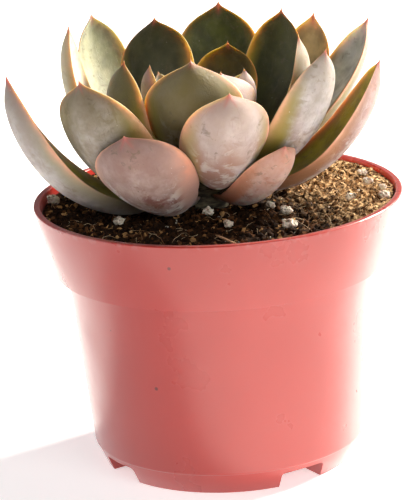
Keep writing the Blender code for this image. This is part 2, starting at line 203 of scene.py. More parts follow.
def pot_plastic():
    made, tree, shader, place = new_material("pot_plastic")
    parts = put(tree, "ShaderNodeSeparateXYZ", {0: place})
    broad = grain(tree, place, 18.0, 2.0)
    shade = tint(tree, between(tree, broad, 0.3, 0.7), colour("AE342C"), colour("B63C34"))
    drawn = put(tree, "ShaderNodeMapping", {"Vector": place, "Scale": (1.0, 1.0, 0.35)}).outputs[0]
    pale = mask(tree, scuffs, Place=drawn, Scale=170.0, Level=0.74)
    shade = tint(tree, times(tree, pale, 0.1), shade, colour("E9A79C"))
    stain = mask(tree, scuffs, Place=place, Scale=120.0, Level=0.75)
    shade = tint(tree, times(tree, stain, 0.2), shade, colour("8E2420"))
    # dust that has settled on the lip
    lip = between(tree, parts.outputs["Z"], POT_HIGH.z - 2.2 * MM, POT_HIGH.z - 0.2 * MM)
    dusty = between(tree, grain(tree, place, 420.0, 3.0), 0.5, 0.66)
    shade = tint(tree, times(tree, lip, times(tree, dusty, 0.18)), shade, colour("B8938C"))
    # painted glow: the lip's inner edge and the top of the wall inside it are painted a brighter red, as
    # light shining through the thin plastic
    away = put(tree, "ShaderNodeVectorMath", {0: place, 1: POT_AXIS}, operation="SUBTRACT").outputs[0]
    level = put(tree, "ShaderNodeVectorMath", {0: away, 1: (1, 1, 0)}, operation="MULTIPLY").outputs[0]
    reach = put(tree, "ShaderNodeVectorMath", {0: level}, operation="LENGTH").outputs["Value"]
    painted_glow_ring = between(tree, reach, LIP_RADIUS - 1.3 * MM, LIP_RADIUS - 1.9 * MM)
    painted_glow_top = between(tree, parts.outputs["Z"], POT_HIGH.z - 3 * MM, POT_HIGH.z - 1 * MM)
    shade = tint(tree, times(tree, painted_glow_ring, painted_glow_top, 0.8), shade, colour("E0341C"))
    dots = mask(tree, specks, Place=place, Scale=170.0, Size=0.1, Share=0.06)
    shade = tint(tree, times(tree, dots, 0.85), shade, colour("4A1512"))
    tree.links.new(shade, shader.inputs["Base Color"])
    wear = between(tree, grain(tree, place, 60.0, 4.0), 0.35, 0.7, 0.27, 0.4)
    tree.links.new(sums(tree, "ADD", wear, times(tree, pale, 0.1)), shader.inputs["Roughness"])
    bump = sums(tree, "ADD", grain(tree, place, 900.0, 2.0), times(tree, dots, 2.0))
    lift = put(tree, "ShaderNodeBump", {"Height": bump, "Distance": 0.02 * MM, "Strength": 0.35})
    tree.links.new(lift.outputs[0], shader.inputs["Normal"])
    shader.inputs["Coat Weight"].default_value = 0.8
    shader.inputs["Coat Roughness"].default_value = 0.2
    shader.inputs["Sheen Weight"].default_value = 0.2
    shader.inputs["Sheen Roughness"].default_value = 0.35
    shader.inputs["Subsurface Weight"].default_value = 0.12
    shader.inputs["Subsurface Radius"].default_value = (1.0, 0.25, 0.15)
    shader.inputs["Subsurface Scale"].default_value = 3 * MM
    return made


def ring_up(radius, height):
    """Draws the selected ring out into a new ring of this radius and height about the pot's axis."""
    bpy.ops.mesh.extrude_region_move()
    shape = bmesh.from_edit_mesh(bpy.context.edit_object.data)
    ring = [vertex for vertex in shape.verts if vertex.select]
    now = ring[0].co.copy()
    share = radius / math.hypot(now.x, now.y)
    bpy.ops.transform.resize(value=(share, share, 1), center_override=(0, 0, 0))
    bpy.ops.transform.translate(value=(0, 0, height - now.z))


def rounded(radius, height, turn_from, turn_to, steps=4):
    """Points round a small edge, as (radius, height), about the centre given."""
    turns = [math.radians(turn_from + (turn_to - turn_from) * i / steps) for i in range(steps + 1)]
    return [(radius + LIP_ROUND * math.cos(t), height + LIP_ROUND * math.sin(t)) for t in turns]


def foot_at(height):
    return FOOT_RADIUS + (RIDGE[0] - RIDGE_STEP - FOOT_RADIUS) * height / (RIDGE[1] - RIDGE_STEP)


deselect()
bpy.ops.mesh.primitive_circle_add(vertices=POT_SIDES, radius=FOOT_RADIUS - FOOT_RING, fill_type="NOTHING")
pot = bpy.context.object
pot.name = "pot_moulding"
bpy.ops.object.mode_set(mode="EDIT")
bpy.ops.mesh.select_all(action="SELECT")
lip_top = POT_HIGH.z - LIP_ROUND
inner_top = LIP_RADIUS - LIP_WIDTH
outside = [
    (FOOT_RADIUS - 0.15 * MM, 0),
    (FOOT_RADIUS, 0.15 * MM),
    (foot_at(FLOOR_UNDERSIDE), FLOOR_UNDERSIDE),
    (RIDGE[0] - RIDGE_STEP, RIDGE[1] - RIDGE_STEP),
    (RIDGE[0] - 0.08 * MM, RIDGE[1] - 0.14 * MM),
    (RIDGE[0], RIDGE[1] + 0.1 * MM),
    (RIDGE[0] + 0.06 * MM, RIDGE[1] + 0.6 * MM),
    (BODY_TOP_RADIUS - 0.1 * MM, COLLAR_FOOT[1] - 1.2 * MM),
    (BODY_TOP_RADIUS + 0.1 * MM, COLLAR_FOOT[1] - 0.2 * MM),
    (BODY_TOP_RADIUS + 0.4 * MM, COLLAR_FOOT[1]),
    (COLLAR_FOOT[0] - 0.45 * MM, COLLAR_FOOT[1]),
    (COLLAR_FOOT[0] - 0.12 * MM, COLLAR_FOOT[1] + 0.12 * MM),
    (COLLAR_FOOT[0], COLLAR_FOOT[1] + 0.5 * MM),
    (COLLAR_FOOT[0] + 0.15 * MM, COLLAR_FOOT[1] + 1.2 * MM),
]
inside = [
    (COLLAR_FOOT[0] - WALL, COLLAR_FOOT[1] + WALL + 0.5 * MM),
    (BODY_TOP_RADIUS - WALL, COLLAR_FOOT[1] + WALL),
    (RIDGE[0] - WALL, FLOOR_UNDERSIDE + FLOOR + 1 * MM),
    (RIDGE[0] - WALL - 1 * MM, FLOOR_UNDERSIDE + FLOOR),
]
lip = rounded(LIP_RADIUS - LIP_ROUND, lip_top, 0, 90) + rounded(inner_top + LIP_ROUND, lip_top, 90, 180)
for ring_radius, ring_height in outside + lip + inside:
    ring_up(ring_radius, ring_height)
bpy.ops.mesh.edge_face_add()
bpy.ops.mesh.select_all(action="DESELECT")
shape = bmesh.from_edit_mesh(pot.data)
for edge in shape.edges:
    edge.select = edge.is_boundary
bpy.ops.mesh.extrude_region_move()
bpy.ops.transform.translate(value=(0, 0, FLOOR_UNDERSIDE))
bpy.ops.mesh.edge_face_add()
bpy.ops.mesh.select_all(action="SELECT")
bpy.ops.mesh.normals_make_consistent(inside=False)
bpy.ops.object.mode_set(mode="OBJECT")

# The four notches in the foot ring, with rounded top corners, and the six drain holes are cut with blocks.
NOTCH_TURNS = (32, 122, 212, 302)
NOTCH_WIDTH = 14 * MM
NOTCH_LENGTH = 16 * MM
NOTCH_MIDDLE = 36 * MM
NOTCH_ROUND = 1.2 * MM
BELOW_FOOT = 4 * MM
DRAINS = 6
DRAIN_RING = 21 * MM
DRAIN_RADIUS = 3.5 * MM


def cut_with(cutter):
    cut = pot.modifiers.new(cutter.name, "BOOLEAN")
    cut.operation = "DIFFERENCE"
    cut.solver = "EXACT"
    cut.object = cutter
    only(pot)
    bpy.ops.object.modifier_apply(modifier=cut.name)
    bpy.data.objects.remove(cutter)


for turn in NOTCH_TURNS:
    deselect()
    facing = Matrix.Rotation(math.radians(turn), 3, "Z")
    middle = facing @ Vector((NOTCH_MIDDLE, 0, (FLOOR_UNDERSIDE - BELOW_FOOT) / 2))
    bpy.ops.mesh.primitive_cube_add(size=1, location=middle, rotation=(0, 0, math.radians(turn)))
    block = bpy.context.object
    block.scale = (NOTCH_LENGTH, NOTCH_WIDTH, FLOOR_UNDERSIDE + BELOW_FOOT)
    settle(block)
    bpy.ops.object.mode_set(mode="EDIT")
    bpy.ops.mesh.select_all(action="DESELECT")
    shape = bmesh.from_edit_mesh(block.data)
    flow = facing @ Vector((1, 0, 0))
    for edge in shape.edges:
        run = edge.verts[1].co - edge.verts[0].co
        top = min(edge.verts[0].co.z, edge.verts[1].co.z) > FLOOR_UNDERSIDE - 0.1 * MM
        edge.select = top and abs(run.normalized().dot(flow)) > 0.9
    bpy.ops.mesh.bevel(offset=NOTCH_ROUND, segments=4, affect="EDGES")
    bpy.ops.object.mode_set(mode="OBJECT")
    cut_with(block)
for i in range(DRAINS):
    deselect()
    turn = math.radians(360 / DRAINS * i)
    middle = (DRAIN_RING * math.cos(turn), DRAIN_RING * math.sin(turn), FLOOR_UNDERSIDE + FLOOR / 2)
    bpy.ops.mesh.primitive_cylinder_add(vertices=32, radius=DRAIN_RADIUS, depth=6 * MM, location=middle)
    cut_with(settle(bpy.context.object))
pot.location = POT_AXIS
settle(pot)
bpy.ops.object.shade_smooth_by_angle(angle=math.radians(28))
pot.data.materials.clear()
pot.data.materials.append(pot_plastic())
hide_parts("pot")
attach(pot, "root")


# ---- Potting mix -------------------------------------------------------------------------------------
# Loose dark peat with coir and perlite, filled to just under the lip. Its top is crumbly and uneven, and
# lies flatter at the wall.

SOIL_TOP_FROM = 70 * MM
LUMPS = ((11 * MM, 1.6 * MM), (4.2 * MM, 2.4 * MM), (1.6 * MM, 1.7 * MM))  # size and height
MIX_CUTS = 13
STEM_HOLE = 7 * MM
WALL_FADE = 2.5 * MM
LEAST_LOOSE = 0.12


def copy_of(node, name):
    """A copy of a CAD node with its corners merged, as a piece of its own."""
    made = bpy.data.objects.new(name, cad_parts[node].data.copy())
    bpy.context.scene.collection.objects.link(made)
    only(made)
    bpy.ops.object.mode_set(mode="EDIT")
    bpy.ops.mesh.select_all(action="SELECT")
    bpy.ops.mesh.remove_doubles(threshold=1e-6)
    bpy.ops.mesh.normals_make_consistent(inside=False)
    bpy.ops.object.mode_set(mode="OBJECT")
    made.data.materials.clear()
    return made


def displace(piece, size, amount, group=""):
    """Lumps of a size and height pushed into the piece's skin, or into a vertex group of it."""
    texture = bpy.data.textures.new(f"{piece.name}_{size:.5f}", "CLOUDS")
    texture.noise_scale = size
    texture.noise_depth = 2
    moved = piece.modifiers.new("displace", "DISPLACE")
    moved.texture = texture
    moved.texture_coords = "LOCAL"
    moved.strength = amount
    moved.mid_level = 0.5
    moved.vertex_group = group
    return moved


def mix_material():
    made, tree, shader, place = new_material("potting_mix")
    fine = grain(tree, place, 900.0, 4.0, 0.7)
    crumbs = put(tree, "ShaderNodeTexVoronoi", {"Vector": place, "Scale": 700.0})
    kinds = put(tree, "ShaderNodeSeparateColor", {0: crumbs.outputs["Color"]})
    shade = tint(tree, between(tree, fine, 0.35, 0.7), colour("120A06"), colour("38220F"))
    shade = tint(tree, between(tree, kinds.outputs[0], 0.72, 0.95), shade, colour("5C3C22"))
    shade = tint(tree, between(tree, kinds.outputs[1], 0.93, 0.97), shade, colour("B98F5E"))
    parts = put(tree, "ShaderNodeSeparateXYZ", {0: place})
    # painted sunlight: the mix is painted pale tan towards +X and a little +Y, the side the key light comes
    # from, with a ragged edge
    side = sums(tree, "ADD", parts.outputs["X"], times(tree, parts.outputs["Y"], 0.35))
    patches = grain(tree, place, 70.0, 3.0)
    clumps = times(tree, grain(tree, place, 330.0, 4.0, 0.7), 0.034)
    ragged = sums(tree, "ADD", times(tree, patches, 0.022), clumps)
    dried_skin_and_sunlit_mix = between(tree, sums(tree, "ADD", side, ragged), 0.044, 0.068)
    sunlit_tan = tint(tree, between(tree, fine, 0.41, 0.6), colour("432A17"), colour("ECC590"))
    # the painted sunlight laid over the mix's own colours
    shade = tint(tree, times(tree, dried_skin_and_sunlit_mix, 0.9), shade, sunlit_tan)
    tree.links.new(shade, shader.inputs["Base Color"])
    shader.inputs["Roughness"].default_value = 0.95
    shader.inputs["Specular IOR Level"].default_value = 0.15
    lift = put(tree, "ShaderNodeBump", {"Height": fine, "Distance": 0.4 * MM, "Strength": 0.8})
    tree.links.new(lift.outputs[0], shader.inputs["Normal"])
    return made


potting_mix = mix_material()
mix = copy_of("soil", "potting_mix_body")
bpy.ops.object.mode_set(mode="EDIT")
bpy.ops.mesh.select_all(action="DESELECT")
shape = bmesh.from_edit_mesh(mix.data)
for face in shape.faces:
    middle = face.calc_center_median() - POT_AXIS
    face.select = face.normal.z > 0.5 and middle.z > SOIL_TOP_FROM
bmesh.update_edit_mesh(mix.data)
bpy.ops.mesh.tris_convert_to_quads()
bpy.ops.mesh.subdivide(number_cuts=MIX_CUTS)
bpy.ops.object.mode_set(mode="OBJECT")
loose = mix.vertex_groups.new(name="loose")
mix_edge = (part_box("soil")[1].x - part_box("soil")[0].x) / 2
for vertex in mix.data.vertices:
    away = vertex.co - POT_AXIS
    radius = math.hypot(away.x, away.y)
    if away.z > SOIL_TOP_FROM and radius > STEM_HOLE:
        share = min(max((mix_edge - radius) / WALL_FADE, LEAST_LOOSE), 1)
        loose.add([vertex.index], share, "REPLACE")
for size, amount in LUMPS:
    displace(mix, size, amount, "loose").direction = "Z"
apply_all(mix)
mix.data.materials.append(potting_mix)
bpy.ops.object.shade_smooth_by_angle(angle=math.radians(40))
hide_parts("soil")
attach(mix, "root")


# ---- Crumbs, fibres and fine perlite -----------------------------------------------------------------
# Loose bits that lie on the mix: rounded crumbs of peat, pale coir fibres that stick out and lie across,
# and perlite dust. Each kind is one piece of many small bodies.

LOOSE = random.Random(7)
CRUMBS = 2200
DUST = 90
FIBRES = 260
FIBRE_STEPS = 6
NEAREST = 9 * MM  # how near the pot's axis a bit may lie, and how far
FARTHEST = 0.0485
FIBRE_FARTHEST = 0.0488
LUMPINESS = 0.09
mix_tree = mix.evaluated_get(bpy.context.evaluated_depsgraph_get())


def ground(x, y):
    """Height of the mix's surface at a place, or None off it."""
    hit, spot, _, _ = mix_tree.ray_cast(Vector((x, y, 0.1)), Vector((0, 0, -1)))
    return spot.z if hit and spot.z > SOIL_TOP_FROM else None


def somewhere():
    """A place on the mix, taken evenly over its area, as a point on the surface."""
    while True:
        radius = math.sqrt(LOOSE.uniform(NEAREST**2, FARTHEST**2))
        turn = LOOSE.uniform(0, 2 * math.pi)
        x, y = POT_AXIS.x + radius * math.cos(turn), POT_AXIS.y + radius * math.sin(turn)
        height = ground(x, y)
        if height:
            return Vector((x, y, height))


def scatter(name, seeds, sizes, count, sink, material):
    """Rough lumps, each turned and sized by chance, joined into one piece."""
    whole = bmesh.new()
    for _ in range(count):
        size = LOOSE.uniform(*sizes)
        turn = Matrix.Rotation(LOOSE.uniform(0, 6.28), 4, Vector((LOOSE.random(), LOOSE.random(), 0.3)))
        shape = Matrix.Diagonal((size, size * LOOSE.uniform(0.6, 0.9), size * LOOSE.uniform(0.5, 0.8), 1))
        spot = somewhere() + Vector((0, 0, size * sink))
        before = len(whole.verts)
        bmesh.ops.create_icosphere(
            whole, subdivisions=seeds, radius=0.5, matrix=Matrix.Translation(spot) @ turn @ shape
        )
        whole.verts.ensure_lookup_table()
        for vertex in whole.verts[before:]:
            vertex.co += Vector((LOOSE.uniform(-1, 1) for _ in range(3))) * size * LUMPINESS
    mesh = bpy.data.meshes.new(name)
    whole.to_mesh(mesh)
    whole.free()
    made = bpy.data.objects.new(name, mesh)
    bpy.context.scene.collection.objects.link(made)
    made.data.materials.append(material)
    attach(made, "root")


def perlite_material():
    made, tree, shader, place = new_material("perlite_grain")
    pits = put(tree, "ShaderNodeTexVoronoi", {"Vector": place, "Scale": 1300.0}).outputs["Distance"]
    fine = grain(tree, place, 1500.0, 3.0)
    shade = tint(tree, between(tree, pits, 0.05, 0.5), colour("A08E74"), colour("F2E8D6"))
    stained = between(tree, grain(tree, place, 400.0, 2.0), 0.46, 0.66, 0.0, 0.85)
    shade = tint(tree, stained, shade, colour("6E5A45"))
    tree.links.new(shade, shader.inputs["Base Color"])
    shader.inputs["Roughness"].default_value = 0.9
    height = sums(tree, "ADD", pits, times(tree, fine, 0.6))
    lift = put(tree, "ShaderNodeBump", {"Height": height, "Distance": 0.25 * MM, "Strength": 0.8})
    tree.links.new(lift.outputs[0], shader.inputs["Normal"])
    shader.inputs["Subsurface Weight"].default_value = 0.1
    shader.inputs["Subsurface Scale"].default_value = 0.5 * MM
    return made


def fibre_material():
    made, tree, shader, place = new_material("coir_fibre")
    kinds = grain(tree, place, 160.0, 1.0)
    shade = tint(tree, between(tree, kinds, 0.42, 0.6), colour("8A5F38"), colour("E2C9A2"))
    tree.links.new(shade, shader.inputs["Base Color"])
    shader.inputs["Roughness"].default_value = 0.7
    return made


perlite_grain = perlite_material()
scatter("peat_crumbs", 1, (0.7 * MM, 2.9 * MM), CRUMBS, 0.1, potting_mix)
scatter("perlite_dust", 1, (0.3 * MM, 1.1 * MM), DUST, 0.3, perlite_grain)

fibres = bpy.data.curves.new("coir_fibres", "CURVE")
fibres.dimensions = "3D"
fibres.bevel_depth = 0.09 * MM
fibres.bevel_resolution = 1
fibres.use_fill_caps = True
for _ in range(FIBRES):
    start = somewhere()
    heading = LOOSE.uniform(0, 2 * math.pi)
    length = LOOSE.uniform(2.0, 7.5) * MM
    rise = LOOSE.uniform(0.05, 0.5) * length * (1 if LOOSE.random() < 0.35 else 0.25)
    bend = LOOSE.uniform(-0.9, 0.9)
    strand = fibres.splines.new("POLY")
    strand.points.add(FIBRE_STEPS)
    spot = start + Vector((0, 0, -0.2 * MM))
    for j, point in enumerate(strand.points):
        share = j / FIBRE_STEPS
        point.co = (*spot, 1)
        point.radius = LOOSE.uniform(0.7, 1.0) * (1 - 0.5 * share)
        heading += bend / FIBRE_STEPS + LOOSE.uniform(-0.25, 0.25)
        spot = spot + Vector((math.cos(heading), math.sin(heading), 0)) * length / FIBRE_STEPS
        edge = spot - POT_AXIS
        if math.hypot(edge.x, edge.y) > FIBRE_FARTHEST:
            spot -= Vector((edge.x, edge.y, 0)).normalized() * 0.6 * MM
        floor_height = ground(spot.x, spot.y) or start.z
        spot.z = floor_height + 0.15 * MM + rise * math.sin(share * 2.6)
coir = bpy.data.objects.new("coir_fibres", fibres)
bpy.context.scene.collection.objects.link(coir)
only(coir)
bpy.ops.object.convert(target="MESH")
coir = bpy.context.object
coir.data.materials.clear()
coir.data.materials.append(fibre_material())
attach(coir, "root")


# ---- Perlite grains ----------------------------------------------------------------------------------
# Fourteen larger grains of expanded perlite: brittle white foam with a pitted skin and soil in the pits.

for node in sorted(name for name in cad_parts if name.startswith("perlite_")):
    nugget = copy_of(node, node.replace("perlite", "perlite_nugget"))
    smooth = nugget.modifiers.new("smooth", "SUBSURF")
    smooth.subdivision_type = "SIMPLE"
    smooth.levels = smooth.render_levels = 3
    displace(nugget, 1.3 * MM, 1.6 * MM)
    displace(nugget, 0.45 * MM, 0.7 * MM)
    apply_all(nugget)
    nugget.data.materials.append(perlite_grain)
    bpy.ops.object.shade_smooth()
    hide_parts(node)
    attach(nugget, "root")


# ---- Wood splinter -----------------------------------------------------------------------------------
# A sliver of bark or cane from the mix, split along its grain, that lies on the surface at the front.


def splinter_material():
    made, tree, shader, place = new_material("splinter_wood")
    drawn = {"Vector": place, "Rotation": (0, 0, 1.05), "Scale": (0.15, 1, 1)}
    lines = grain(tree, put(tree, "ShaderNodeMapping", drawn).outputs[0], 2600.0, 3.0)
    shade = tint(tree, between(tree, lines, 0.35, 0.68), colour("8A6440"), colour("E0B78C"))
    tree.links.new(shade, shader.inputs["Base Color"])
    shader.inputs["Roughness"].default_value = 0.75
    lift = put(tree, "ShaderNodeBump", {"Height": lines, "Distance": 0.1 * MM, "Strength": 0.6})
    tree.links.new(lift.outputs[0], shader.inputs["Normal"])
    return made


sliver = copy_of("wood_splinter", "splinter")
finer = sliver.modifiers.new("finer", "SUBSURF")
finer.levels = finer.render_levels = 3
displace(sliver, 1.5 * MM, 0.25 * MM)
apply_all(sliver)
sliver.data.materials.append(splinter_material())
bpy.ops.object.shade_smooth()
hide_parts("wood_splinter")
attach(sliver, "root")


# ---- Stem --------------------------------------------------------------------------------------------
# A short corky stem, ringed where old leaves have come off. It stands in the mix and carries every leaf.


def stem_material():
    made, tree, shader, place = new_material("corky_stem")
    rings = put(tree, "ShaderNodeMapping", {"Vector": place, "Scale": (0.4, 0.4, 1.6)}).outputs[0]
    bark = grain(tree, rings, 520.0, 4.0, 0.6)
    shade = tint(tree, between(tree, bark, 0.35, 0.7), colour("3A352B"), colour("8C8266"))
    tree.links.new(shade, shader.inputs["Base Color"])
    shader.inputs["Roughness"].default_value = 0.85
    lift = put(tree, "ShaderNodeBump", {"Height": bark, "Distance": 0.4 * MM, "Strength": 0.8})
    tree.links.new(lift.outputs[0], shader.inputs["Normal"])
    return made


stalk = copy_of("stem", "corky_stem")
finer = stalk.modifiers.new("finer", "SUBSURF")
finer.levels = finer.render_levels = 2
displace(stalk, 2.2 * MM, 0.5 * MM)
apply_all(stalk)
stalk.data.materials.append(stem_material())
bpy.ops.object.shade_smooth()
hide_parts("stem")
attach(stalk, "root")


# ---- Leaves ------------------------------------------------------------------------------------------
# Thirty fleshy spoon-shaped leaves, each with a keeled underside, a hollow upper side, a thin margin that
# light shines through, and a hard point. A powdery wax bloom covers the skin and is rubbed off in places.

stem_low, stem_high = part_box("stem")
STEM_AXIS = Vector(((stem_low.x + stem_high.x) / 2, (stem_low.y + stem_high.y) / 2, 0))
CORNERS_UNDER = 5
MARGIN_CREASE = 0.48
FITTING_ROUNDS = 3


def leaf_rings(mesh):
    """The leaf's rings of ten corners, from its point back to its foot."""
    shape = bmesh.new()
    shape.from_mesh(mesh)
    shape.verts.ensure_lookup_table()
    middle = sum((vertex.co for vertex in shape.verts), Vector()) / len(shape.verts)
    foot = min(shape.verts, key=lambda v: math.hypot(v.co.x - STEM_AXIS.x, v.co.y - STEM_AXIS.y)).co
    point = max(shape.verts, key=lambda v: (v.co - foot).length)
    rings, seen = [[point.index]], {point.index}
    while True:
        ends = [shape.verts[i] for i in rings[-1]]
        beyond = {edge.other_vert(end).index for end in ends for edge in end.link_edges} - seen
        if not beyond:
            break
        seen |= beyond
        rings.append(sorted(beyond))
    shape.free()
    return rings


def mark_leaf(piece):
    """Writes each corner's place on the leaf, and creases its margins and its point.

    The place is how far along it is (0 foot, 1 point), how far across (-1 to 1), and 1 under or 0 above.
    """
    mesh = piece.data
    rings = leaf_rings(mesh)
    at = [vertex.co.copy() for vertex in mesh.vertices]
    centres = [sum((at[i] for i in ring), Vector()) / len(ring) for ring in rings]
    lengths = [0.0]
    for one, other in zip(centres, centres[1:]):
        lengths.append(lengths[-1] + (other - one).length)
    shape = bmesh.new()
    shape.from_mesh(mesh)
    shape.verts.ensure_lookup_table()
    shape.normal_update()
    place = mesh.attributes.new("leaf_place", "FLOAT_VECTOR", "POINT")
    widest = max(range(1, len(rings)), key=lambda k: max((at[i] - centres[k]).length for i in rings[k]))
    out = (centres[widest] - STEM_AXIS) * Vector((1, 1, 0))
    run = (centres[0] - centres[-1]).normalized()
    side = run.cross(out).normalized()
    margins = set()
    for k, ring in enumerate(rings):
        if k == 0:
            place.data[ring[0]].vector = (1, 0, 0.5)
            continue
        spans = {i: (at[i] - centres[k]).dot(side) for i in ring}
        low, high = min(ring, key=spans.get), max(ring, key=spans.get)
        half = max((spans[high] - spans[low]) / 2, 1e-6)
        middle = (spans[high] + spans[low]) / 2
        margins |= {low, high}
        # Of a ring's ten corners two are the margins, five face down and out, and three face up and in.
        chord = (at[high] - at[low]).normalized()
        ahead = centres[k - 1] - centres[k]
        over = chord.cross(ahead).normalized()
        over = over if over.dot(Vector((-out.x, -out.y, out.length))) > 0 else -over
        facing = {i: shape.verts[i].normal.dot(over) for i in ring}
        rest = sorted((i for i in ring if i not in (low, high)), key=facing.get)
        for i in ring:
            under = 0.5 if i in (low, high) else 1.0 if i in rest[:CORNERS_UNDER] else 0.0
            place.data[i].vector = (1 - lengths[k] / lengths[-1], (spans[i] - middle) / half, under)
    shape.free()
    crease = mesh.attributes.new("crease_edge", "FLOAT", "EDGE")
    for edge in mesh.edges:
        crease.data[edge.index].value = MARGIN_CREASE if set(edge.vertices) <= margins else 0.0
    tip = mesh.attributes.new("crease_vert", "FLOAT", "POINT")
    tip.data[rings[0][0]].value = 1.0


def plump_up(piece):
    """Subdivides the leaf, with its corners moved so that the smooth skin passes where they were."""
    plump = piece.modifiers.new("plump", "SUBSURF")
    plump.levels = plump.render_levels = 3
    wanted = [vertex.co.copy() for vertex in piece.data.vertices]
    for _ in range(FITTING_ROUNDS):
        smooth = piece.evaluated_get(bpy.context.evaluated_depsgraph_get()).data
        reached = [smooth.vertices[i].co for i in range(len(wanted))]
        for vertex, goal, now in zip(piece.data.vertices, wanted, reached):
            vertex.co += (goal - now) * 0.9
        piece.data.update()
        bpy.context.view_layer.update()
    apply_all(piece)


def leaf_skin_group():
    """The colour, gloss and relief of a leaf's skin, with a painted glow along its margins, from the place
    on it and the leaf's colours.
    """
    group, given, out = new_group(
        "leaf_skin",
        [
            ("Place", "place"),
            ("Object", "place"),
            ("Seed", "value"),
            ("Under", "colour"),
            ("Bloom", "colour"),
            ("Cover", "value"),
            ("Upper", "colour"),
            ("Margin", "colour"),
            ("Low Margin", "colour"),
            ("Tip", "colour"),
            ("Dry", "colour"),
            ("Dryness", "value"),
        ],
        [("Colour", "colour"), ("Roughness", "value"), ("Height", "value")],
    )
    parts = put(group, "ShaderNodeSeparateXYZ", {0: given["Place"]})
    along, across, under = parts.outputs[0], parts.outputs[1], parts.outputs[2]
    wide = sums(group, "ABSOLUTE", across)
    offset = put(group, "ShaderNodeCombineXYZ", {0: given["Seed"], 1: given["Seed"], 2: given["Seed"]})
    shifted = {0: given["Object"], 1: offset.outputs[0]}
    spot = put(group, "ShaderNodeVectorMath", shifted, operation="ADD").outputs[0]
    drawn = {0: times(group, along, 0.35), 1: across, 2: given["Seed"]}
    flat = put(group, "ShaderNodeCombineXYZ", drawn).outputs[0]
    # upper side: green, mottled
    mottle = grain(group, spot, 160.0, 3.0)
    upper = tint(group, between(group, mottle, 0.35, 0.7, 0.0, 0.5), given["Upper"], colour("20240C"))
    haze = between(group, grain(group, spot, 220.0, 5.0, 0.65), 0.45, 0.78, 0.0, 0.16)
    upper = tint(group, haze, upper, given["Bloom"])
    # underside: skin under a bloom that is rubbed thin in streaks and spots, and thins out to the edges
    streaks = mask(group, scuffs, Place=flat, Scale=26.0, Level=0.62)
    worn = sums(group, "MAXIMUM", streaks, mask(group, scuffs, Place=spot, Scale=240.0, Level=0.57))
    dabs = between(group, grain(group, spot, 380.0, 5.0, 0.7), 0.3, 0.66)
    broad = between(group, grain(group, spot, 95.0, 4.0, 0.65), 0.36, 0.62)
    cover = times(
        group,
        given["Cover"],
        sums(group, "SUBTRACT", 1.0, times(group, worn, 0.85)),
        sums(group, "ADD", times(group, dabs, 0.42), 0.58),
        sums(group, "ADD", times(group, broad, 0.5), 0.5),
        between(group, wide, 1.05, 0.5, 0.25, 1.0),
        between(group, along, 1.0, 0.55, 0.1, 1.0),
    )
    below = tint(group, cover, given["Under"], given["Bloom"])
    # dried, scarred skin towards the foot
    foot = between(group, along, 0.74, 0.52)
    scar = mask(group, scuffs, Place=spot, Scale=120.0, Level=0.42)
    dried_skin_and_sunlit_mix = times(group, foot, scar, given["Dryness"])
    below = tint(group, dried_skin_and_sunlit_mix, below, given["Dry"])
    pale = mask(group, scuffs, Place=spot, Scale=230.0, Level=0.5)
    below = tint(group, times(group, pale, foot, given["Dryness"], 0.8), below, colour("DED8D0"))
    shade = tint(group, between(group, under, 0.42, 0.6), upper, below)
    marks = mask(group, scuffs, Place=spot, Scale=430.0, Level=0.62)
    shade = tint(group, times(group, marks, 0.5), shade, colour("6A5C48"))
    # the margin: partly the skin's own colour and partly a painted glow of light shining through the thin
    # margin, in the margin colour towards the point and the low margin's colour towards the foot
    wander = times(group, sums(group, "SUBTRACT", grain(group, spot, 220.0, 2.0), 0.5), 0.14)
    edge = sums(group, "ADD", wide, wander)
    margin_colour_and_glow = tint(group, between(group, along, 0.35, 0.72), given["Low Margin"], given["Margin"])
    near_edge = between(group, edge, 0.58, 0.92, 0.0, 0.95)
    # painted glow of light through the leaf along the margins near the foot
    low_margin_glow = times(group, near_edge, between(group, along, 0.92, 0.66))
    shade = tint(group, low_margin_glow, shade, given["Low Margin"])
    shade = tint(group, between(group, edge, 0.8, 1.0, 0.0, 0.6), shade, margin_colour_and_glow)
    shade = tint(group, between(group, edge, 0.91, 0.98, 0.0, 0.95), shade, margin_colour_and_glow)
    end = between(group, along, 0.93, 0.99)
    shade = tint(group, times(group, end, 0.7), shade, given["Tip"])
    # brown base, white wax specks, dark spots
    base = between(group, along, 0.16, 0.02, 0.0, 0.7)
    shade = tint(group, base, shade, colour("5B5348"))
    white = mask(group, specks, Place=spot, Scale=620.0, Size=0.12, Share=0.12)
    flecks = times(group, white, between(group, under, 0.3, 0.7, 0.12, 0.4))
    shade = tint(group, flecks, shade, colour("E8E4DA"))
    dark = mask(group, specks, Place=spot, Scale=260.0, Size=0.13, Share=0.07)
    shade = tint(group, times(group, dark, 0.6), shade, colour("3A2A1C"))
    group.links.new(shade, out["Colour"])
    group.links.new(sums(group, "SUBTRACT", 0.62, times(group, worn, 0.14)), out["Roughness"])
    # relief: long ridges and wax flecks stand up, and dried, dabbed and worn skin lies lower
    height = sums(group, "ADD", times(group, grain(group, flat, 9.0, 3.0), 0.6), times(group, white, 0.5))
    height = sums(group, "ADD", height, times(group, dried_skin_and_sunlit_mix, -0.4))
    height = sums(group, "ADD", height, times(group, sums(group, "ADD", dabs, worn), -0.5))
    group.links.new(height, out["Height"])
    return group


leaf_skin = leaf_skin_group()
